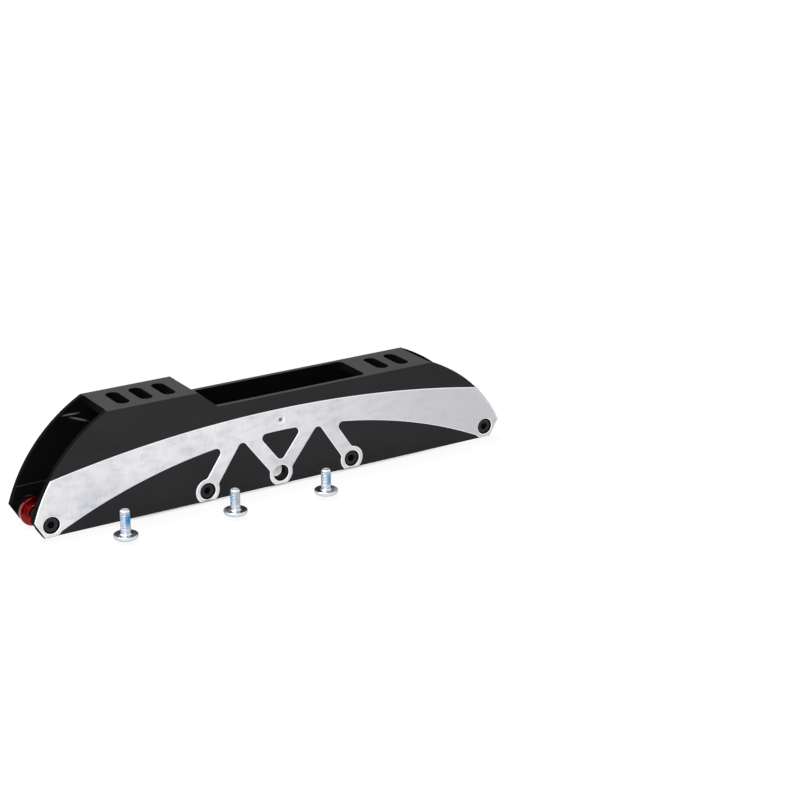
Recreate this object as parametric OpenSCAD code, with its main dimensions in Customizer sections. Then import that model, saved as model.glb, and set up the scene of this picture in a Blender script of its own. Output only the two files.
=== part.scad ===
// Inline skate frame: a channel-shaped chassis that carries four wheels under a boot.
// X points to the toe, Y to the left, Z up. The origin is the centre of the middle axle hole.

/* [Overall] */
// Distance from the rear axle to the front axle
axle_span = 306; // [250:1:372]
// Width over the two walls, without the side plates
chassis_w = 37; // [31:0.5:44]
// Height of the rails and the toe deck above the axle line
rail_z = 51.5; // [43:0.5:64]
// Rise of the heel deck above the rails
heel_rise = 11; // [7:0.5:16]
// Drop of the two inner axles below the axle line
rocker = 1; // [0:0.1:2]

/* [Chassis] */
// Thickness of each wall
wall_t = 3.4; // [2.8:0.1:4.2]
// Thickness of both decks
deck_t = 5; // [4:0.5:6.5]
// Depth of the lower edge below the axle line
lower_edge = 7.5; // [6.8:0.1:9]
// Radius of the round boss at each axle
boss_r = 8; // [7:0.1:9.6]
// Height of the bosses that stand inside the walls
inner_boss_h = 2.7; // [2:0.1:3.2]
// Height of the thicker lower band of each wall above the axle line
band_z = 14.5; // [11:0.5:18]
// Extra thickness of the lower band, inside the wall
band_t = 1.2; // [0.6:0.1:1.8]
// Radius of the curve at both ends
end_r = 101.5; // [84:0.5:126]
// Reach of the ends past the end axles
end_reach = 11; // [9:0.1:13]
// Height of the corner where an end curve meets its chamfer
end_corner_z = 3.2; // [2:0.1:5]
// Length of the chamfer under each end
chamfer_run = 6.4; // [5:0.1:8]
// Length of the slope in front of the heel deck
ramp_run = 13; // [9:0.5:17]
// Corner radius of the window between the decks
window_corner_r = 3; // [1:0.5:6]
// Flat on top of the walls between a deck's end and the end curve
end_flat = 0.5; // [0.2:0.1:2]

/* [Boot slots] */
// Position of the middle heel slot
heel_slot_x = -84; // [-90:0.5:-78]
// Middle of the two toe slots
toe_slot_x = 88.5; // [82:0.5:95]
// Distance between neighbouring slots
slot_pitch = 15; // [12:0.5:18]
// Width of a slot, along the frame
slot_w = 8.2; // [6.6:0.1:9.8]
// Length of a slot, across the frame
slot_l = 22; // [16:0.5:25]
// Deck beyond the outermost slot at each end
deck_margin = 15; // [12:0.5:18]
// Heel deck in front of its last slot
heel_lead = 13.7; // [11:0.1:17]
// Toe deck behind its first slot
toe_trail = 17.2; // [14:0.1:21]

/* [Axles] */
// Diameter of the axle sleeves
axle_d = 8; // [6.6:0.1:9.6]
// Diameter of the screws inside the sleeves
screw_d = 5; // [4:0.1:6]
// Length of the screws under the head
screw_l = 13; // [10:0.5:16]
// Diameter of the heads at both ends of an axle
head_d = 10.4; // [9.6:0.1:12.4]
// Height of the heads
head_h = 2.3; // [1.9:0.1:2.8]
// Depth of the heads below the face of the side plate
head_recess = 0.8; // [0.4:0.1:1.6]
// Hexagon socket in the heads, across flats
socket_af = 4; // [3:0.5:5]
// Depth of the hexagon sockets
socket_depth = 1.9; // [1.4:0.1:2.2]
// Chamfer on the rim of the heads
head_chamfer = 0.4; // [0.1:0.1:0.8]

/* [Bearing spacers] */
// Length of a spacer along its axle
spacer_l = 10.2; // [8:0.1:12.2]
// Diameter of the centring flange
spacer_flange_d = 17.6; // [14:0.1:20]
// Thickness of the centring flange
spacer_flange_t = 3; // [2:0.1:4]
// Diameter of the ends that meet the bearings
spacer_end_d = 11.6; // [10.4:0.1:13]
// Gap between a resting spacer and the left boss
spacer_gap = 0.1; // [0.1:0.1:1]

/* [Side plates] */
// Thickness of the bare metal plates
plate_t = 0.6; // [0.4:0.1:1]
// Height of the arch's upper edge at its crown
arch_top = 42; // [36:0.5:46]
// Height of the arch's lower edge at its crown
arch_bottom = 28; // [24:0.5:33]
// Height of the arch's upper edge over the end axles
arch_top_end = 27; // [20:0.5:32]
// Height of the arch's lower edge over the end axles
arch_bottom_end = -8; // [-9.5:0.1:-6]
// Width of the struts
strut_w = 9; // [7:0.5:11]
// Distance of the strut tops from the middle
strut_foot_x = 27; // [20:0.5:34]
// Fillet where struts, arch and bosses meet
plate_fillet = 3; // [1:0.5:5]
// Strip of the wall left round the edge of a plate
plate_margin = 0.5; // [0.2:0.1:1]
// Diameter of the rivet heads at the crown
rivet_head_d = 5; // [4:0.1:6]
// Diameter of the rivet shanks
rivet_d = 3; // [2.4:0.1:3.6]
// Length of the rivet shanks in the wall
rivet_l = 2; // [1.5:0.1:2.3]

/* [Mounting bolts] */
// Diameter of the bolt shanks
bolt_d = 6; // [5:0.1:7.2]
// Length under the head of the heel bolt
heel_bolt_l = 15; // [12:0.5:20]
// Length under the head of the toe bolts
toe_bolt_l = 13; // [10:0.5:16]
// Diameter of the bolt flanges
bolt_flange_d = 14.4; // [12:0.1:17]
// Height of the bolt heads
bolt_head_h = 2.8; // [2.4:0.1:3.6]
// Places of the standing bolts along and beside the frame
bolt_places = [[-117.5, -43], [-46.5, -45], [15.5, -46.5]]; // [-150:0.5:150]

/* [Clearances] */
// Radial gap round axles, screws and rivets
running_gap = 0.05; // [0.02:0.01:0.1]
// Radial gap round the axle heads
head_gap = 0.1; // [0.05:0.05:0.3]
// Gap past the end of a sleeve, a screw or a rivet
end_gap = 0.2; // [0.1:0.1:0.5]

/* [Hidden] */
$fn = 96;
far = 400;
arc_fn = 720;

heel_z = rail_z + heel_rise;
floor_z = -lower_edge;
inner_w = chassis_w - 2 * wall_t;
plate_face_y = chassis_w / 2 + plate_t;
wheel_gap = inner_w - 2 * inner_boss_h;

// Axle places from the heel to the toe, with the empty middle hole
axle_x = [-axle_span / 2, -axle_span / 6, axle_span / 6, axle_span / 2];
axle_z = [0, -rocker, -rocker, 0];
hole_x = concat(axle_x, [0]);
hole_z = concat(axle_z, [0]);

heel_slots = [for (k = [-1:1]) heel_slot_x + k * slot_pitch];
toe_slots = [for (k = [-0.5, 0.5]) toe_slot_x + k * slot_pitch];
heel_rear = heel_slots[0] - deck_margin;
heel_front = heel_slots[2] + heel_lead;
toe_rear = toe_slots[0] - toe_trail;
toe_front = toe_slots[1] + deck_margin;

// The heads seat on the floor of a counterbore through the plate and part of the wall
counterbore = head_h + head_recess - plate_t;
seat_y = chassis_w / 2 - counterbore;
head_hole_d = head_d + 2 * head_gap;
axle_hole_d = axle_d + 2 * running_gap;
sleeve_end = seat_y - end_gap;

rivet_z = (arch_top + arch_bottom) / 2;
spacer_y = (wheel_gap - spacer_l) / 2 - spacer_gap;
bolt_lengths = [heel_bolt_l, toe_bolt_l, toe_bolt_l];
bolt_dome_d = 0.72 * bolt_flange_d;
bolt_rim = 0.3 * bolt_head_h;
bolt_chamfer = 0.15 * bolt_d;
bolt_fillet = 0.13 * bolt_d;

// Centre of the arc of radius r from a deck's edge p down to the corner q; side is 1 at the toe
function arc_centre(p, q, r, side) =
    let (chord = norm(q - p), along = (q - p) / chord, depth = sqrt(r * r - chord * chord / 4))
    (p + q) / 2 + side * depth * [along[1], -along[0]];

// Radius of an arc that drops by a given height at half its span
function arc_radius(half_span, drop) = (half_span * half_span + drop * drop) / (2 * drop);

// A flat shape of the side view, thickened across the frame
module across(width) {
    rotate([90, 0, 0])
        linear_extrude(width, center = true)
            children();
}

// A shape turned about Z, laid along Y at an axle; side is 1 for a shape that faces left
module on_axle(x, z, side) {
    translate([x, 0, z])
        rotate([-90 * side, 0, 0])
            children();
}

// Everything inside one curved end
module end_limit(deck_edge, corner, side) {
    centre = arc_centre(deck_edge, corner, end_r, side);
    translate(centre)
        circle(end_r, $fn = arc_fn);
    translate([side > 0 ? centre[0] - far : centre[0], -far / 2])
        square(far);
}

// Side view of the chassis
module body_outline() {
    corner_x = axle_span / 2 + end_reach;
    chamfer = [chamfer_run, end_corner_z + lower_edge];
    limit_x = corner_x + chamfer_run;
    limit_z = end_corner_z + chamfer[1];
    intersection() {
        polygon([
            [-limit_x, limit_z],
            [-corner_x + chamfer_run, -lower_edge],
            [corner_x - chamfer_run, -lower_edge],
            [limit_x, limit_z],
            [limit_x, rail_z],
            [heel_front + ramp_run, rail_z],
            [heel_front, heel_z],
            [-limit_x, heel_z]
        ]);
        end_limit([heel_rear - end_flat, heel_z], [-corner_x, end_corner_z], -1);
        end_limit([toe_front + end_flat, rail_z], [corner_x, end_corner_z], 1);
    }
}

// A disc at each axle hole
module axle_discs(r) {
    for (i = [0:4])
        translate([hole_x[i], hole_z[i]])
            circle(r);
}

// The space between the walls, open below and at both ends, and narrower between the lower bands
module channel() {
    across(inner_w - 2 * band_t)
        translate([-far, -far])
            square([2 * far, far + rail_z - deck_t]);
    across(inner_w)
        translate([0, band_z]) {
            translate([-far, 0])
                square([2 * far, rail_z - deck_t - band_z]);
            translate([-far, 0])
                square([far + heel_front, heel_z - deck_t - band_z]);
            translate([-far, 0])
                square([far + heel_rear, far]);
            translate([toe_front, 0])
                square([far, far]);
        }
}

// The window between the decks
module window() {
    length = toe_rear - heel_front;
    translate([heel_front, -inner_w / 2, rail_z - 2 * deck_t])
        linear_extrude(far) {
            translate([window_corner_r, 0])
                square([length - 2 * window_corner_r, inner_w]);
            translate([0, window_corner_r])
                square([length, inner_w - 2 * window_corner_r]);
            for (x = [window_corner_r, length - window_corner_r])
                for (y = [window_corner_r, inner_w - window_corner_r])
                    translate([x, y])
                        circle(window_corner_r);
        }
}

// A slot across a deck whose top is at z
module boot_slot(x, z) {
    run = slot_l - slot_w;
    translate([x, 0, z - 2 * deck_t])
        linear_extrude(4 * deck_t) {
            square([slot_w, run], center = true);
            for (side = [-1, 1])
                translate([0, side * run / 2])
                    circle(d = slot_w);
        }
}

module chassis() {
    color("#232326")
        difference() {
            union() {
                difference() {
                    across(chassis_w)
                        body_outline();
                    channel();
                    window();
                }
                for (side = [-1, 1])
                    translate([0, side * (inner_w - inner_boss_h) / 2, 0])
                        across(inner_boss_h)
                            intersection() {
                                body_outline();
                                axle_discs(boss_r);
                            }
            }
            for (x = heel_slots)
                boot_slot(x, heel_z);
            for (x = toe_slots)
                boot_slot(x, rail_z);
            for (i = [0:4], side = [-1, 1])
                on_axle(hole_x[i], hole_z[i], side) {
                    cylinder(d = axle_hole_d, h = far);
                    translate([0, 0, seat_y])
                        cylinder(d = head_hole_d, h = far);
                }
            for (side = [-1, 1])
                on_axle(0, rivet_z, side)
                    translate([0, 0, chassis_w / 2 - rivet_l - end_gap])
                        cylinder(d = rivet_d + 2 * running_gap, h = far);
        }
}

// A straight strut between two points of the side view
module strut(p, q) {
    run = q - p;
    translate(p)
        rotate(atan2(run[1], run[0]))
            translate([0, -strut_w / 2])
                square([norm(run), strut_w]);
}

// The arch from end axle to end axle
module arch() {
    top_r = arc_radius(axle_span / 2, arch_top - arch_top_end);
    bottom_r = arc_radius(axle_span / 2, arch_bottom - arch_bottom_end);
    intersection() {
        translate([-far / 2, -boss_r])
            square([far, far]);
        difference() {
            translate([0, arch_top - top_r])
                circle(top_r, $fn = arc_fn);
            translate([0, arch_bottom - bottom_r])
                circle(bottom_r, $fn = arc_fn);
        }
    }
}

// Side view of a side plate: the arch, its struts and the bosses, with filleted inner corners
module plate_outline() {
    intersection() {
        offset(delta = -plate_margin)
            body_outline();
        offset(r = -plate_fillet)
            offset(delta = plate_fillet) {
                arch();
                axle_discs(boss_r);
                for (side = [-1, 1])
                    for (foot = [[0, 0], [side * axle_span / 6, -rocker]])
                        strut(foot, [side * strut_foot_x, rivet_z]);
            }
    }
}

module side_plate(side) {
    color("#d6d6d9")
        difference() {
            translate([0, side * (plate_face_y - plate_t / 2), 0])
                across(plate_t)
                    plate_outline();
            for (i = [0:4])
                on_axle(hole_x[i], hole_z[i], side)
                    cylinder(d = head_hole_d, h = far);
            on_axle(0, rivet_z, side)
                cylinder(d = rivet_head_d + 2 * running_gap, h = far);
        }
}

module plate_rivet(side) {
    wall_y = chassis_w / 2;
    color("#77777b")
        on_axle(0, rivet_z, side)
            rotate_extrude()
                polygon([
                    [0, wall_y - rivet_l],
                    [rivet_d / 2, wall_y - rivet_l],
                    [rivet_d / 2, wall_y],
                    [rivet_head_d / 2, wall_y],
                    [rivet_head_d / 2, plate_face_y],
                    [rivet_d / 2, plate_face_y],
                    [0, plate_face_y - plate_t]
                ]);
}

module hex_socket(face, depth) {
    translate([0, 0, face - depth])
        cylinder(d = socket_af / cos(30), h = far, $fn = 6);
}

module axle_sleeve(i) {
    face = seat_y + head_h;
    thread_r = screw_d / 2 + running_gap;
    thread_end = screw_l + end_gap - seat_y;
    color("#1b1b1d")
        on_axle(axle_x[i], axle_z[i], 1)
            difference() {
                rotate_extrude()
                    polygon([
                        [thread_r, -sleeve_end],
                        [axle_d / 2, -sleeve_end],
                        [axle_d / 2, seat_y],
                        [head_d / 2, seat_y],
                        [head_d / 2, face - head_chamfer],
                        [head_d / 2 - head_chamfer, face],
                        [0, face],
                        [0, thread_end],
                        [thread_r, thread_end]
                    ]);
                hex_socket(face, socket_depth);
            }
}

module axle_screw(i) {
    face = seat_y + head_h;
    color("#1b1b1d")
        on_axle(axle_x[i], axle_z[i], -1)
            difference() {
                rotate_extrude()
                    polygon([
                        [0, seat_y - screw_l],
                        [screw_d / 2 - head_chamfer, seat_y - screw_l],
                        [screw_d / 2, seat_y - screw_l + head_chamfer],
                        [screw_d / 2, seat_y],
                        [head_d / 2, seat_y],
                        [head_d / 2, face - head_chamfer],
                        [head_d / 2 - head_chamfer, face],
                        [0, face]
                    ]);
                hex_socket(face, socket_depth);
            }
}

module bearing_spacer(i) {
    bore_r = axle_d / 2 + running_gap;
    end_y = spacer_l / 2;
    flange_y = spacer_flange_t / 2;
    color("#b0121d")
        translate([0, spacer_y, 0])
            on_axle(axle_x[i], axle_z[i], 1)
                rotate_extrude()
                    polygon([
                        [bore_r, -end_y],
                        [spacer_end_d / 2, -end_y],
                        [spacer_end_d / 2, -flange_y],
                        [spacer_flange_d / 2, -flange_y],
                        [spacer_flange_d / 2, flange_y],
                        [spacer_end_d / 2, flange_y],
                        [spacer_end_d / 2, end_y],
                        [bore_r, end_y]
                    ]);
}

// A bolt that stands on its head on the floor
module mounting_bolt(i) {
    length = bolt_lengths[i];
    rim_z = bolt_head_h - bolt_rim;
    top = bolt_head_h + length;
    color("#c9d0d8")
        translate([bolt_places[i][0], bolt_places[i][1], floor_z])
            difference() {
                rotate_extrude()
                    polygon([
                        [0, 0],
                        [bolt_dome_d / 2, 0],
                        [bolt_flange_d / 2 - bolt_rim / 2, rim_z - bolt_rim / 2],
                        [bolt_flange_d / 2, rim_z],
                        [bolt_flange_d / 2, bolt_head_h],
                        [bolt_d / 2 + bolt_fillet, bolt_head_h],
                        [bolt_d / 2, bolt_head_h + bolt_fillet],
                        [bolt_d / 2, top - bolt_chamfer],
                        [bolt_d / 2 - bolt_chamfer, top],
                        [0, top]
                    ]);
                translate([0, 0, socket_depth - far])
                    cylinder(d = socket_af / cos(30), h = far, $fn = 6);
            }
}

chassis();
side_plate(1);  // left_side_plate
side_plate(-1);  // right_side_plate
plate_rivet(1);  // left_plate_rivet
plate_rivet(-1);  // right_plate_rivet
for (i = [0:3])
    axle_sleeve(i);
for (i = [0:3])
    axle_screw(i);
for (i = [0:3])
    bearing_spacer(i);
for (i = [0:2])
    mounting_bolt(i);
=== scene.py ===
import math

import bmesh
import bpy
from mathutils import Matrix, Vector


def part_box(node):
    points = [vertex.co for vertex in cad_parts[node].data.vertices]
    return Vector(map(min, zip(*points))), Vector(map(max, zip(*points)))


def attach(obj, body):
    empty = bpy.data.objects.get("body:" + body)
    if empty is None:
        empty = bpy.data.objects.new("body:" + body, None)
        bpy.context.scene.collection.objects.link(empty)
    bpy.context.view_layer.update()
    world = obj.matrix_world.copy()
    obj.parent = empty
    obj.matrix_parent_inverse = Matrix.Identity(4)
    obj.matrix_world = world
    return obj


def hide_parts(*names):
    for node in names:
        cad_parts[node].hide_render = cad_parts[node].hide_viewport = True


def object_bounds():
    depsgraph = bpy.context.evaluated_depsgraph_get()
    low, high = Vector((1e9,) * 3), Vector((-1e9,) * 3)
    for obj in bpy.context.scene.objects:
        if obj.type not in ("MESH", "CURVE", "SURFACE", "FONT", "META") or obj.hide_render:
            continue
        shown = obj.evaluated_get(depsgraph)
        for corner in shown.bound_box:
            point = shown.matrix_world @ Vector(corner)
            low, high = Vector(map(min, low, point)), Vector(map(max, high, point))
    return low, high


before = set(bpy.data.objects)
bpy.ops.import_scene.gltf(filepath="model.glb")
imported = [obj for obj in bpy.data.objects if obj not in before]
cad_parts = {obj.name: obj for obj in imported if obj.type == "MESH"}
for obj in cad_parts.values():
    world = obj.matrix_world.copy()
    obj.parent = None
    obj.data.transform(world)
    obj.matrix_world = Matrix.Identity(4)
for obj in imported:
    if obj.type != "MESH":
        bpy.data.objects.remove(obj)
cad_low, cad_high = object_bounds()

MM = 0.001
TINY = 1e-6
AXLES = (1, 2, 3, 4)
BOLTS = (1, 2, 3)


# Places read off the frame, in metres

def middle(node):
    low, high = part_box(node)
    return (low + high) / 2


floor_z = cad_low.z
rear_axle = middle("axle_screw_1")
axle_pitch = middle("axle_screw_2").x - rear_axle.x
rocker = rear_axle.z - middle("axle_screw_2").z
crown_rivet = middle("right_plate_rivet")
wall_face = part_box("chassis")[1].y
rear_reach = -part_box("chassis")[0].x
plate_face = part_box("left_side_plate")[1].y

# Sizes that the frame's boxes don't give, in metres

wall = 3.4 * MM
inner_half = wall_face - wall
head_h = 2.3 * MM
head_edge = 0.4 * MM
rim_w = 0.8 * MM
rim_step = 0.5 * MM
rim_slope = 0.15 * MM
socket_flats = 4 * MM
socket_r = socket_flats / 2 / math.cos(math.pi / 6)
socket_depth = 1.9 * MM
drill_point = 0.5 * MM
axle_r = 4 * MM
axle_countersink = 0.35 * MM
axle_thread_pitch = 0.8 * MM
screw_r = 2.5 * MM
screw_tip = 0.6 * MM
screw_thread_depth = 0.42 * MM
bore_r = 2.55 * MM
bore_depth = 13 * MM
bore_mouth = 0.4 * MM
bore_thread_depth = 0.3 * MM
bolt_r = 3 * MM
bolt_head_h = 2.8 * MM
bolt_rim = 0.9 * MM
bolt_rim_edge = 0.2 * MM
bolt_crown_r = 5.2 * MM
bolt_countersink = 0.3 * MM
bolt_fillet = 1.1 * MM
bolt_tip = 0.7 * MM
bolt_dimple = 0.6 * MM
bolt_thread_pitch = 1 * MM
bolt_thread_depth = 0.4 * MM
plate_chamfer = 0.5 * MM
plate_chamfer_depth = 0.27 * MM
rivet_dent_r = 1.5 * MM
broken_edge = 0.3 * MM
rivet_edge = 0.1 * MM
turned_edge = 0.12 * MM
sliver = 0.02 * MM


# Shader maths

class Wire:
    """An output socket among a material's nodes. Sums on wires add Math nodes."""

    def __init__(self, tree, socket=None):
        self.tree = tree
        self.socket = socket

    def node(self, kind, settings, inputs, output=0):
        """Add a node. Its settings are made first, then its sockets get their values or links."""
        made = self.tree.nodes.new(kind)
        for name, value in settings.items():
            setattr(made, name, value)
        for key, value in inputs.items():
            if isinstance(value, Wire):
                self.tree.links.new(value.socket, made.inputs[key])
            else:
                made.inputs[key].default_value = value
        return Wire(self.tree, made.outputs[output]) if made.outputs else None

    def math(self, operation, *values):
        return self.node("ShaderNodeMath", {"operation": operation}, dict(enumerate(values)))

    def __add__(self, other):
        return self.math("ADD", self, other)

    def __radd__(self, other):
        return self.math("ADD", other, self)

    def __sub__(self, other):
        return self.math("SUBTRACT", self, other)

    def __rsub__(self, other):
        return self.math("SUBTRACT", other, self)

    def __mul__(self, other):
        return self.math("MULTIPLY", self, other)

    def __rmul__(self, other):
        return self.math("MULTIPLY", other, self)

    def __truediv__(self, other):
        return self.math("DIVIDE", self, other)

    def __pow__(self, other):
        return self.math("POWER", self, other)

    def __abs__(self):
        return self.math("ABSOLUTE", self)

    def __lt__(self, other):
        return self.math("LESS_THAN", self, other)


def begin(name):
    """A new material, and a wire that gives the place on the piece in millimetres."""
    material = bpy.data.materials.new(name)
    material.use_nodes = True
    material.node_tree.nodes.clear()
    coords = Wire(material.node_tree).node("ShaderNodeTexCoord", {}, {}, "Object")
    return material, scaled(coords, (1 / MM,) * 3)


def scaled(place, factors):
    return place.node("ShaderNodeVectorMath", {"operation": "MULTIPLY"}, {0: place, 1: factors})


def moved(place, centre):
    """The place as measured from a centre that is given in metres."""
    return place.node("ShaderNodeVectorMath", {"operation": "SUBTRACT"},
                      {0: place, 1: Vector(centre) / MM})


def parts(place):
    return [place.node("ShaderNodeSeparateXYZ", {}, {0: place}, axis) for axis in range(3)]


def noise(place, scale, detail=2):
    """Noise with this many features to the millimetre."""
    return place.node("ShaderNodeTexNoise", {}, {"Vector": place, "Scale": scale, "Detail": detail})


def smooth(value, low, high):
    return value.node("ShaderNodeMapRange", {"interpolation_type": "SMOOTHSTEP"},
                      {"Value": value, "From Min": low, "From Max": high})


def wave(value, pitch):
    """A sine between 0 and 1 that repeats at a pitch."""
    return 0.5 + 0.5 * value.math("SINE", value * (math.tau / pitch))


def blend(mask, colour, other):
    return mask.node("ShaderNodeMix", {"data_type": "RGBA"}, {0: mask, 6: colour, 7: other}, 2)


def rgb(red, green, blue):
    return (red, green, blue, 1)


def surface(place, relief, sockets):
    """End a material in one surface shader, whose relief is given in millimetres."""
    normal = place.node("ShaderNodeBump", {}, {"Height": relief, "Distance": MM, "Strength": 1})
    shader = place.node("ShaderNodeBsdfPrincipled", {}, {**sockets, "Normal": normal})
    place.node("ShaderNodeOutputMaterial", {}, {"Surface": shader})


def axle_radius(place):
    """Distance from the nearest axle's line, in millimetres."""
    x, _, z = parts(place)
    along = x.math("PINGPONG", x - rear_axle.x / MM, axle_pitch / 2 / MM)
    inner = abs(x) < axle_pitch / MM
    up = z + inner * (rocker / MM)
    return (along * along + up * up) ** 0.5


# Finishes

def streak(place, start, end, width):
    """A soft stroke between two points (x, z) of the side view, in millimetres."""
    x, _, z = parts(place)
    run, rise = end[0] - start[0], end[1] - start[1]
    length = math.hypot(run, rise)
    along = ((x - start[0]) * run + (z - start[1]) * rise) / length ** 2
    off = abs((x - start[0]) * rise - (z - start[1]) * run) / length
    return (1 - smooth(off, 0, width)) * smooth(along, 0, 0.4) * (1 - smooth(along, 0.6, 1))


def cool(grey):
    """A grey with a faint cast of blue."""
    return rgb(grey, grey, 1.08 * grey)


def painted_glint_streaks(place):
    """Two streaks on the inner walls behind the heel deck, painted as highlights."""
    upper = streak(place, (-130, 52.3), (-115.5, 52), 0.75)
    lower = streak(place, (-125, 51), (-110.5, 45.4), 0.9)
    return (upper + lower) * (0.4 + 0.6 * noise(place, 0.5, 3))


def black_anodised(name, dark, light, dullness, shine, painted_glints):
    """Black anodised metal between two tones, over faint extrusion lines, and where asked two light
    streaks painted as highlights.
    """
    material, place = begin(name)
    grain = noise(place, 6)
    lines = noise(scaled(place, (0.02, 2.4, 2.4)), 1, 3)
    haze = noise(place, 0.03, 3)
    colour = blend(smooth(0.6 * haze + 0.4 * lines, 0.3, 0.7), cool(dark), cool(light))
    # Painted highlight: two light streaks on the inner walls behind the heel deck.
    if painted_glints:
        colour = blend(painted_glint_streaks(place), colour, cool(0.3))
    surface(place, 0.004 * grain + 0.005 * lines, {
        "Base Color": colour,
        "Roughness": dullness + 0.1 * haze + 0.06 * lines,
        "Specular IOR Level": shine,
    })
    return material


def milled_aluminium():
    """Bare face-milled metal: patches of crossing cutter arcs on soft mottling, and a painted highlight
    on the chamfered edges.

    It is darker towards the toe, as painted shade."""
    cutter_r = 46
    cutter_z = 18
    feed = 1.05
    material, place = begin("face_milled_aluminium")
    x, y, z = parts(place)
    # The chamfered edges are painted near white, a painted highlight.
    edge = 1 - smooth(abs(y), plate_face / MM - 0.06, plate_face / MM - 0.01)
    rise = z - cutter_z
    reach = (cutter_r ** 2 - rise * rise) ** 0.5
    wander = 0.7 * noise(place, 0.05, 2)
    leading = wave(x + reach + wander, feed)
    trailing = wave(x - reach - wander, feed)
    sweep = noise(scaled(place, (1, 1, 0.4)), 0.018, 2)
    patches = smooth(noise(place, 0.045, 3), 0.42, 0.68)
    hatch = patches * (leading * smooth(sweep, 0.35, 0.6) + trailing * (1 - smooth(sweep, 0.4, 0.65)))
    streaks = noise(scaled(place, (1.4, 1, 0.12)), 1, 3)
    mottle = noise(scaled(place, (1, 1, 2.2)), 0.12, 4)
    tone = (0.13 + 0.3 * (1 - hatch) + 0.22 * smooth(streaks, 0.25, 0.75)
            + 0.34 * smooth(mottle, 0.25, 0.6))
    # Painted shade: the face darkens towards the toe.
    tone *= 1 - 0.8 * smooth(x, -60, 150)
    face = blend(tone, rgb(0.5, 0.5, 0.53), rgb(0.87, 0.87, 0.895))
    surface(place, (0.0035 * hatch + 0.002 * streaks) * (1 - edge), {
        "Base Color": blend(edge, face, rgb(0.97, 0.97, 0.975)),
        "Metallic": 1.0,
        "Roughness": 0.36 + 0.12 * streaks - 0.05 * hatch - 0.06 * edge,
    })
    return material


def dimpled_rivet():
    """The rivets at the crown: bright metal round a dimple darkened with painted shade."""
    material, place = begin("spun_rivet_aluminium")
    x, _, z = parts(moved(place, crown_rivet))
    radius = (x * x + z * z) ** 0.5
    rings = wave(radius + 0.1 * noise(place, 1.5), 0.28)
    smears = noise(place, 2.2, 3)
    # Painted shade: the dimple is painted dark.
    dent_shade = 1 - smooth(radius + 0.25 * smears, 0.75 * rivet_dent_r / MM, 1.1 * rivet_dent_r / MM)
    bright = blend(smears, rgb(0.62, 0.62, 0.64), rgb(0.86, 0.86, 0.87))
    surface(place, 0.004 * rings + 0.003 * smears, {
        "Base Color": blend(dent_shade, bright, rgb(0.17, 0.17, 0.18)),
        "Metallic": 1.0,
        "Roughness": 0.24 + 0.14 * smears,
    })
    return material


def black_axle_steel():
    """Blackened steel of the axles: turning rings under a slightly mottled oxide."""
    material, place = begin("blackened_axle_steel")
    _, y, _ = parts(place)
    rings = wave(axle_radius(place) + y + 0.05 * noise(place, 1), 0.22)
    mottle = noise(place, 1.1, 4)
    rub = smooth(noise(place, 3.5, 3), 0.62, 0.75)
    oxide = blend(mottle, rgb(0.011, 0.011, 0.012), rgb(0.022, 0.022, 0.024))
    surface(place, 0.003 * rings + 0.002 * mottle, {
        "Base Color": blend(rub, oxide, rgb(0.045, 0.045, 0.048)),
        "Metallic": 0.25,
        "Roughness": 0.34 + 0.16 * mottle,
        "Specular IOR Level": 0.22,
    })
    return material


def shaded_socket():
    """The insides of the hexagon sockets and the outer rims of the axle heads: dull black, painted as
    shade, mottled with dust.
    """
    material, place = begin("shaded_socket_black")
    dust = noise(place, 4, 3)
    # Painted shade: near-black for the sockets' insides and the heads' outer rims.
    surface(place, 0.004 * dust, {
        "Base Color": blend(dust, rgb(0.001, 0.001, 0.0012), rgb(0.004, 0.004, 0.0045)),
        "Roughness": 0.6 + 0.2 * dust,
        "Specular IOR Level": 0.05,
    })
    return material


def red_anodised():
    """Glossy deep red anodised metal with the faint rings left by the lathe."""
    material, place = begin("red_anodised_turned")
    _, y, _ = parts(place)
    rings = wave(axle_radius(place) + y + 0.04 * noise(place, 0.8), 0.3)
    cloud = noise(place, 0.25, 2)
    tone = 0.8 * cloud + 0.2 * rings
    surface(place, 0.0008 * rings, {
        "Base Color": blend(tone, rgb(0.14, 0.0008, 0.003), rgb(0.36, 0.004, 0.011)),
        "Metallic": 0.9,
        "Roughness": 0.16 + 0.06 * cloud + 0.02 * rings,
        "Coat Roughness": 0.06,
        "Coat Weight": 0.25 + 0.1 * cloud,
    })
    return material


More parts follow.
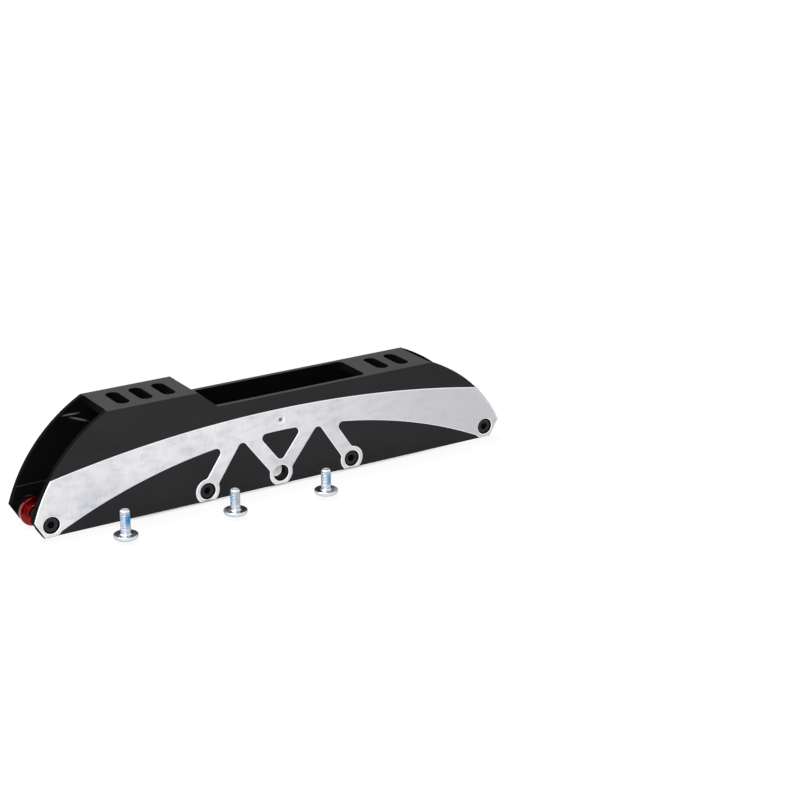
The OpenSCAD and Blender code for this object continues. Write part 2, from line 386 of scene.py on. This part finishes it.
def zinc_plate(number, foot, length, patch_degrees, patch_share):
    """Bright zinc on a bolt, with a dry blue thread-lock patch on one side of its shank, painted shade
    in its thread grooves and a painted highlight on its upturned tip.

    The patch faces patch_degrees, lies between two shares of the shank's length, and fades out."""
    patch_low, patch_high = (bolt_head_h / MM + share * (length - bolt_head_h) / MM
                             for share in patch_share)
    fade = 1.6
    material, place = begin("bright_zinc_bolt_%d" % number)
    x, y, z = parts(moved(place, foot))
    radius = (x * x + y * y) ** 0.5
    angle = math.radians(patch_degrees)
    facing = (math.cos(angle) * x + math.sin(angle) * y) / (radius + 0.01)
    ragged = noise(place, 0.9, 3) - 0.5
    tall = smooth(z + 2 * ragged, patch_low - fade, patch_low + fade)
    tall *= 1 - smooth(z + 2 * ragged, patch_high - fade, patch_high + fade)
    tall *= radius < 1.06 * bolt_r / MM
    haze = tall ** 0.5 * smooth(facing + 0.4 * ragged, -0.3, 0.9)
    patch = tall * smooth(facing + 0.4 * ragged, 0.3, 0.98)
    shank = smooth(z, bolt_head_h / MM + 1, bolt_head_h / MM + 2) * (z < length / MM - 0.9)
    # Painted shade: the thread grooves are darkened.
    groove = shank * (1 - smooth(radius, 0.86 * bolt_r / MM, 0.99 * bolt_r / MM))
    bloom = noise(place, 0.5, 3)
    drawn = wave(z + 0.2 * noise(place, 2), 0.3)
    crust = noise(place, 3, 3)
    plate = blend(bloom, rgb(0.6, 0.63, 0.69), rgb(0.8, 0.82, 0.86))
    plate = blend(0.6 * shank, plate, rgb(0.5, 0.57, 0.65))
    plate = blend(0.5 * groove, plate, rgb(0.26, 0.29, 0.36))
    plate = blend(0.7 * haze, plate, rgb(0.4, 0.66, 0.86))
    # Painted highlight: the upturned tip is lightened.
    plate = blend(smooth(z, length / MM - 0.7, length / MM - 0.3), plate, rgb(0.9, 0.9, 0.92))
    dried = blend(crust, rgb(0.02, 0.18, 0.41), rgb(0.045, 0.31, 0.63))
    surface(place, 0.0015 * drawn + 0.03 * patch * crust, {
        "Base Color": blend(patch ** 0.7, plate, dried),
        "Metallic": 1 - patch,
        "Roughness": 0.15 + 0.1 * bloom + 0.2 * shank * (1 - patch) + patch * (0.32 + 0.1 * crust),
        "Specular Tint": rgb(0.24, 0.25, 0.3),
    })
    return material


# Pieces

SEGMENTS = 48
AXLE_THREAD_ROWS = 110
BOLT_THREAD_ROWS = 130
FLAT = math.radians(0.02)
NEARLY_FLAT = math.radians(0.4)
SHARP = math.radians(25)
CORNER = math.radians(28)
SQUARE = math.radians(90)
OFF_SQUARE = math.radians(5)
OUTER, INNER, ENDS = 0, 1, 2


def hexagon(vert):
    """Move a vertex of a ring inwards on to the hexagon whose corners lie on the ring."""
    sixth = math.tau / 6
    off_middle = math.atan2(vert.co.y, vert.co.x) % sixth - sixth / 2
    vert.co.xy *= math.cos(sixth / 2) / math.cos(off_middle)


def cut_thread(bm, radius, low, high, pitch, depth):
    """Press a helical thread of this depth into the rings at a radius; a negative depth cuts a bore."""
    runout = 0.9 * pitch
    for vert in bm.verts:
        if abs(vert.co.xy.length - radius) < TINY and low - TINY < vert.co.z < high + TINY:
            phase = vert.co.z / pitch - math.atan2(vert.co.y, vert.co.x) / math.tau
            groove = (0.5 - 0.5 * math.cos(math.tau * phase)) ** 1.3
            fade = min(1, (vert.co.z - low) / runout, (high - vert.co.z) / runout)
            vert.co.xy *= 1 - depth * groove * max(0, fade) / radius


def shown(name, bm):
    """A new piece of the scene from finished faces."""
    mesh = bpy.data.meshes.new(name)
    bm.to_mesh(mesh)
    bm.free()
    piece = bpy.data.objects.new(name, mesh)
    bpy.context.scene.collection.objects.link(piece)
    return piece


def shade_evenly(piece):
    """Let the large faces of a smooth piece set the shading at their edges."""
    piece.modifiers.new("even_shading", "WEIGHTED_NORMAL").keep_sharp = True


def turned(name, corners, thread, rim_r, place):
    """A lathe-turned piece: the corners (radius, height) of half its section are spun about Z.

    The socket, and the head beyond rim_r, take the second material."""
    bm = bmesh.new()
    verts = [bm.verts.new((radius, 0, height)) for radius, height in corners]
    edges = [bm.edges.new(pair) for pair in zip(verts, verts[1:])]
    long_edges = [e for e in edges if {round(v.co.z, 7) for v in e.verts}
                  == {round(thread["low"], 7), round(thread["high"], 7)}]
    bmesh.ops.subdivide_edges(bm, edges=long_edges, cuts=thread["rows"])
    bmesh.ops.spin(bm, geom=bm.verts[:] + bm.edges[:], cent=(0, 0, 0), axis=(0, 0, 1),
                   angle=math.tau, steps=SEGMENTS, use_merge=True)
    bmesh.ops.remove_doubles(bm, verts=bm.verts, dist=TINY)
    for vert in bm.verts:
        if abs(vert.co.xy.length - socket_r) < TINY and vert.co.z < head_h + MM:
            hexagon(vert)
    sharp = [e for e in bm.edges if e.is_manifold and e.calc_face_angle() > SHARP]
    bmesh.ops.bevel(bm, geom=sharp, offset=turned_edge, affect="EDGES", segments=2, profile=0.5,
                    material=-1, clamp_overlap=True)
    bmesh.ops.remove_doubles(bm, verts=bm.verts, dist=TINY)
    cut_thread(bm, thread["radius"], thread["low"], thread["high"], thread["pitch"], thread["depth"])
    bmesh.ops.recalc_face_normals(bm, faces=bm.faces)
    for face in bm.faces:
        face.smooth = True
        spot = face.calc_center_median()
        # The socket, and the head beyond rim_r, take the second material, which is painted shade.
        if spot.z < head_h + MM and not socket_r < spot.xy.length < rim_r:
            face.material_index = 1
    bmesh.ops.transform(bm, matrix=place, verts=bm.verts)
    piece = shown(name, bm)
    shade_evenly(piece)
    return piece


def stands_for(piece, node, body, materials):
    """Give a piece its finishes, and let it stand for a node of the frame."""
    for material in materials:
        piece.data.materials.append(material)
    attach(piece, body)
    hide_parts(node)


def socket_corners(countersink):
    """Half section of a hexagon socket, from its drilled floor out to a small countersink."""
    return [
        (0, socket_depth + drill_point),
        (0.7 * socket_r, socket_depth),
        (socket_r, socket_depth),
        (socket_r, countersink),
        (socket_r + countersink, 0),
    ]


def axle_head_corners(head_r):
    """Half section of an axle's head: its socket, a face within a low step, and its rim."""
    return socket_corners(axle_countersink) + [
        (head_r - rim_w, 0),
        (head_r - rim_w + rim_slope, rim_step),
        (head_r - head_edge, rim_step),
        (head_r, rim_step + head_edge),
        (head_r, head_h),
    ]


def axle_screw(number, materials):
    """A screw that comes from the right side, with its head outwards."""
    node = "axle_screw_%d" % number
    low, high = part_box(node)
    head_r = (high.x - low.x) / 2
    length = high.y - low.y
    thread = {"radius": screw_r, "low": head_h + 2 * MM, "high": length - screw_tip,
              "pitch": axle_thread_pitch, "depth": screw_thread_depth, "rows": AXLE_THREAD_ROWS}
    corners = axle_head_corners(head_r) + [
        (screw_r, head_h),
        (screw_r, thread["low"]),
        (screw_r, thread["high"]),
        (screw_r - screw_tip, length),
        (0, length),
    ]
    seat = Vector((middle(node).x, low.y, middle(node).z))
    place = Matrix.Translation(seat) @ Matrix.Rotation(math.radians(-90), 4, "X")
    piece = turned("threaded_" + node, corners, thread, head_r - rim_w, place)
    stands_for(piece, node, node, materials)


def axle_sleeve(number, materials):
    """A sleeve that comes from the left side, with its head outwards and its end tapped."""
    node = "axle_sleeve_%d" % number
    low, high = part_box(node)
    head_r = (high.x - low.x) / 2
    length = high.y - low.y
    thread = {"radius": bore_r, "low": length - bore_depth + bore_mouth, "high": length - bore_mouth,
              "pitch": axle_thread_pitch, "depth": -bore_thread_depth, "rows": AXLE_THREAD_ROWS}
    corners = axle_head_corners(head_r) + [
        (axle_r, head_h),
        (axle_r, length - bore_mouth),
        (axle_r - bore_mouth, length),
        (bore_r + bore_mouth, length),
        (bore_r, thread["high"]),
        (bore_r, thread["low"]),
        (bore_r, length - bore_depth),
        (0, length - bore_depth - MM),
    ]
    seat = Vector((middle(node).x, high.y, middle(node).z))
    place = Matrix.Translation(seat) @ Matrix.Rotation(math.radians(90), 4, "X")
    piece = turned("tapped_" + node, corners, thread, head_r - rim_w, place)
    stands_for(piece, node, node, materials)


def mounting_bolt(number, socket, patch_degrees, patch_share):
    """A loose flanged bolt that stands on its head."""
    node = "mounting_bolt_%d" % number
    low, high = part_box(node)
    flange_r = (high.x - low.x) / 2
    length = high.z - low.z
    neck = bolt_head_h + bolt_fillet
    thread = {"radius": bolt_r, "low": neck + 0.15 * (length - neck), "high": length - bolt_tip,
              "pitch": bolt_thread_pitch, "depth": bolt_thread_depth, "rows": BOLT_THREAD_ROWS}
    quarter = [math.radians(15 * k) for k in range(7)]
    crown = [(bolt_crown_r + (flange_r - bolt_crown_r) * math.sin(turn),
              (bolt_head_h - bolt_rim) * (1 - math.cos(turn)))
             for turn in quarter]
    fillet = [(bolt_r + bolt_fillet * (1 - math.sin(turn)), neck - bolt_fillet * math.cos(turn))
              for turn in quarter]
    corners = socket_corners(bolt_countersink) + crown + [
        (flange_r, bolt_head_h - bolt_rim_edge),
        (flange_r - bolt_rim_edge, bolt_head_h),
    ] + fillet + [
        (bolt_r, thread["low"]),
        (bolt_r, thread["high"]),
        (bolt_r - bolt_tip, length),
        (0.5 * bolt_r, length),
        (0, length - bolt_dimple),
    ]
    foot = Vector((middle(node).x, middle(node).y, low.z))
    material = zinc_plate(number, foot, length, patch_degrees, patch_share)
    piece = turned("threaded_" + node, corners, thread, flange_r + MM, Matrix.Translation(foot))
    stands_for(piece, node, node, [material, socket])


def merged_copy(node, nearest):
    """A copy of a node's faces, with corners merged where they lie this near."""
    bm = bmesh.new()
    bm.from_mesh(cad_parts[node].data)
    bmesh.ops.remove_doubles(bm, verts=bm.verts, dist=nearest)
    return bm


def side_plate(side, material):
    """A bare metal plate with a chamfer cut round every edge of its outer face."""
    node = side + "_side_plate"
    bm = merged_copy(node, TINY)
    bmesh.ops.recalc_face_normals(bm, faces=bm.faces)
    bmesh.ops.dissolve_limit(bm, angle_limit=FLAT, verts=bm.verts, edges=bm.edges)
    outer = [f for f in bm.faces if all(abs(v.co.y) > plate_face - TINY for v in f.verts)]
    bmesh.ops.inset_region(bm, faces=outer, thickness=plate_chamfer, use_boundary=True,
                           use_even_offset=True)
    bm.normal_update()
    rim = [v for v in bm.verts if abs(v.co.y) > plate_face - TINY
           and any(abs(f.normal.y) < 0.5 for f in v.link_faces)]
    for vert in rim:
        vert.co.y = math.copysign(plate_face - plate_chamfer_depth, vert.co.y)
    for face in bm.faces:
        face.smooth = False
    stands_for(shown("chamfered_" + node, bm), node, "chassis", [material])


def machined(node, width, material):
    """A turned piece of the frame as it is, with a finish and broken edges."""
    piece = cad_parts[node]
    piece.material_slots[0].material = material
    weld = piece.modifiers.new("joined_faces", "WELD")
    weld.merge_threshold = TINY
    flat = piece.modifiers.new("whole_faces", "DECIMATE")
    flat.decimate_type = "DISSOLVE"
    flat.angle_limit = FLAT
    edge = piece.modifiers.new("broken_edges", "BEVEL")
    edge.width = width
    edge.segments = 2
    edge.limit_method = "ANGLE"
    edge.angle_limit = CORNER
    edge.use_clamp_overlap = False
    shade_evenly(piece)


def chassis_faces():
    """A copy of the chassis in whole flat faces, cut only on planes through its slots and holes.

    The cuts meet the holes squarely. Other edges that join hole to hole would spoil the bevels."""
    bm = merged_copy("chassis", sliver)
    bmesh.ops.dissolve_degenerate(bm, dist=sliver, edges=bm.edges)
    bmesh.ops.recalc_face_normals(bm, faces=bm.faces)
    through_slots = ((0, 0, 0), (0, 1, 0))
    through_axles = ((0, 0, -rocker / 2), (0, 0, 1))
    through_rivets = (crown_rivet, (0, 0, 1))
    for point, across in (through_slots, through_axles, through_rivets):
        cut = bmesh.ops.bisect_plane(bm, geom=bm.verts[:] + bm.edges[:] + bm.faces[:], dist=5 * sliver,
                                     plane_co=point, plane_no=across)
        for item in cut["geom_cut"]:
            if isinstance(item, bmesh.types.BMEdge):
                item.seam = True
    bmesh.ops.dissolve_limit(bm, angle_limit=NEARLY_FLAT, verts=bm.verts, edges=bm.edges,
                             delimit={"SEAM"})
    return bm


def chassis_channel(finishes):
    """The chassis with its square outer edges broken.

    The inside of the channel and the walls' ends take blacks of their own, painted darker as shade."""
    channel_side = inner_half + 0.05 * MM
    ends_reach = 0.67 * rear_reach
    bm = chassis_faces()
    for face in bm.faces:
        spot = face.calc_center_median()
        if abs(spot.y) < channel_side and face.normal.z < 0.5:
            face.material_index = INNER
        elif abs(spot.x) > ends_reach and abs(face.normal.x) > 0.3:
            face.material_index = ENDS
        else:
            face.material_index = OUTER
    sharp = [e for e in bm.edges if e.is_manifold and e.calc_face_angle() > SHARP]
    broken = [e for e in sharp if abs(e.calc_face_angle() - SQUARE) < OFF_SQUARE
              and any(face.material_index != INNER for face in e.link_faces)]
    for edge in set(sharp) - set(broken):
        edge.smooth = False
    bmesh.ops.bevel(bm, geom=broken, offset=broken_edge, affect="EDGES", segments=2, profile=0.5,
                    material=-1, clamp_overlap=False)
    bmesh.ops.remove_doubles(bm, verts=bm.verts, dist=TINY)
    bmesh.ops.dissolve_degenerate(bm, dist=TINY, edges=bm.edges)
    for face in bm.faces:
        face.smooth = True
    piece = shown("edged_chassis", bm)
    shade_evenly(piece)
    stands_for(piece, "chassis", "chassis", finishes)


outer_black = black_anodised("satin_black_anodised", dark=0.0175, light=0.0235,
                             dullness=0.46, shine=0.08, painted_glints=False)
# Painted shade: the channel's inside and the walls' ends are painted far darker than the outer black.
channel_shade_black = black_anodised("channel_shade_black_anodised", dark=0.0035, light=0.0055,
                             dullness=0.58, shine=0.012, painted_glints=True)
end_shade_black = black_anodised("end_shade_black_anodised", dark=0.003, light=0.005,
                           dullness=0.58, shine=0.012, painted_glints=False)
milled = milled_aluminium()
rivet = dimpled_rivet()
axle_black = black_axle_steel()
socket_shade = shaded_socket()
red = red_anodised()

chassis_channel([outer_black, channel_shade_black, end_shade_black])
for side in ("left", "right"):
    side_plate(side, milled)
    machined(side + "_plate_rivet", rivet_edge, rivet)
for axle in AXLES:
    machined("bearing_spacer_%d" % axle, broken_edge, red)
    axle_screw(axle, [axle_black, socket_shade])
    axle_sleeve(axle, [axle_black, socket_shade])

# Each bolt's thread-lock patch: the side that it faces, in degrees, and where it lies along the shank
patches = ((-58, (0.45, 0.79)), (130, (0.3, 0.72)), (-32, (0.3, 0.77)))
for bolt, (patch_degrees, patch_share) in zip(BOLTS, patches):
    mounting_bolt(bolt, socket_shade, patch_degrees, patch_share)


# Floor, light and camera

def seen_white(tree, shade, strength):
    """A shade that the camera, mirrors and glass see partly as plain white."""
    camera = tree.node("ShaderNodeLightPath", {}, {}, "Is Camera Ray")
    glossy = tree.node("ShaderNodeLightPath", {}, {}, "Is Glossy Ray")
    through = tree.node("ShaderNodeLightPath", {}, {}, "Is Transmission Ray")
    white = tree.node("ShaderNodeEmission", {}, {"Color": rgb(1, 1, 1), "Strength": 1})
    seen = camera.math("MINIMUM", camera + glossy + through, 1)
    return tree.node("ShaderNodeMixShader", {}, {0: strength * seen, 1: shade, 2: white})


def pale_floor():
    """A matt floor that is seen mostly as white, least of all under the channel."""
    white, more_afar, less_below = 0.92, 0.08, 0.86
    bm = bmesh.new()
    bmesh.ops.create_grid(bm, x_segments=1, y_segments=1, size=6)
    bmesh.ops.translate(bm, vec=(0, 0, floor_z), verts=bm.verts)
    floor = shown("floor", bm)
    material = bpy.data.materials.new("pale_floor")
    material.use_nodes = True
    material.node_tree.nodes.clear()
    tree = Wire(material.node_tree)
    x, y, _ = parts(tree.node("ShaderNodeTexCoord", {}, {}, "Object"))
    under = 1 - smooth(abs(x), 0.5 * rear_reach, 0.9 * rear_reach)
    under *= 1 - smooth(abs(y), 0.8 * inner_half, 1.1 * inner_half)
    away = smooth((x * x + y * y) ** 0.5, 0.4, 1.4)
    matt = tree.node("ShaderNodeBsdfDiffuse", {}, {"Color": rgb(0.9, 0.9, 0.9)})
    shade = seen_white(tree, matt, white + more_afar * away - less_below * under)
    tree.node("ShaderNodeOutputMaterial", {}, {"Surface": shade})
    floor.data.materials.append(material)


def studio_world():
    """An even, dim light from all round, seen as white."""
    world = bpy.data.worlds.new("studio")
    bpy.context.scene.world = world
    world.use_nodes = True
    world.node_tree.nodes.clear()
    tree = Wire(world.node_tree)
    ambient = tree.node("ShaderNodeBackground", {}, {"Color": rgb(1, 1, 1), "Strength": 0.4})
    tree.node("ShaderNodeOutputWorld", {}, {"Surface": seen_white(tree, ambient, 1.0)})


def softbox(name, place, size, watts):
    """A square soft lamp that faces the middle of the frame."""
    lamp = bpy.data.lights.new(name, "AREA")
    lamp.shape = "SQUARE"
    lamp.size = size
    lamp.energy = watts
    holder = bpy.data.objects.new(name, lamp)
    holder.location = place
    holder.rotation_mode = "QUATERNION"
    holder.rotation_quaternion = (-Vector(place)).to_track_quat("-Z", "Y")
    bpy.context.scene.collection.objects.link(holder)


def photo_camera():
    """A camera where the photograph was taken from."""
    place = Vector((-583.7, -1056.2, 468.1)) * MM
    heading = math.radians(32.89)
    dip = math.radians(19.49)
    level = Vector((math.sin(heading), math.cos(heading), 0))
    sight = math.cos(dip) * level - math.sin(dip) * Vector((0, 0, 1))
    camera = bpy.data.cameras.new("camera")
    camera.lens = 93.14
    camera.sensor_width = 36
    camera.clip_start = 0.01
    holder = bpy.data.objects.new("camera", camera)
    holder.location = place
    holder.rotation_mode = "QUATERNION"
    holder.rotation_quaternion = sight.to_track_quat("-Z", "Y")
    bpy.context.scene.collection.objects.link(holder)
    bpy.context.scene.camera = holder


pale_floor()
studio_world()
softbox("overhead", (-0.25, 0.3, 1.2), size=0.9, watts=24)
softbox("front_left", (-0.62, -0.62, 0.42), size=0.6, watts=3.2)
photo_camera()
bpy.context.scene.view_settings.view_transform = "Standard"
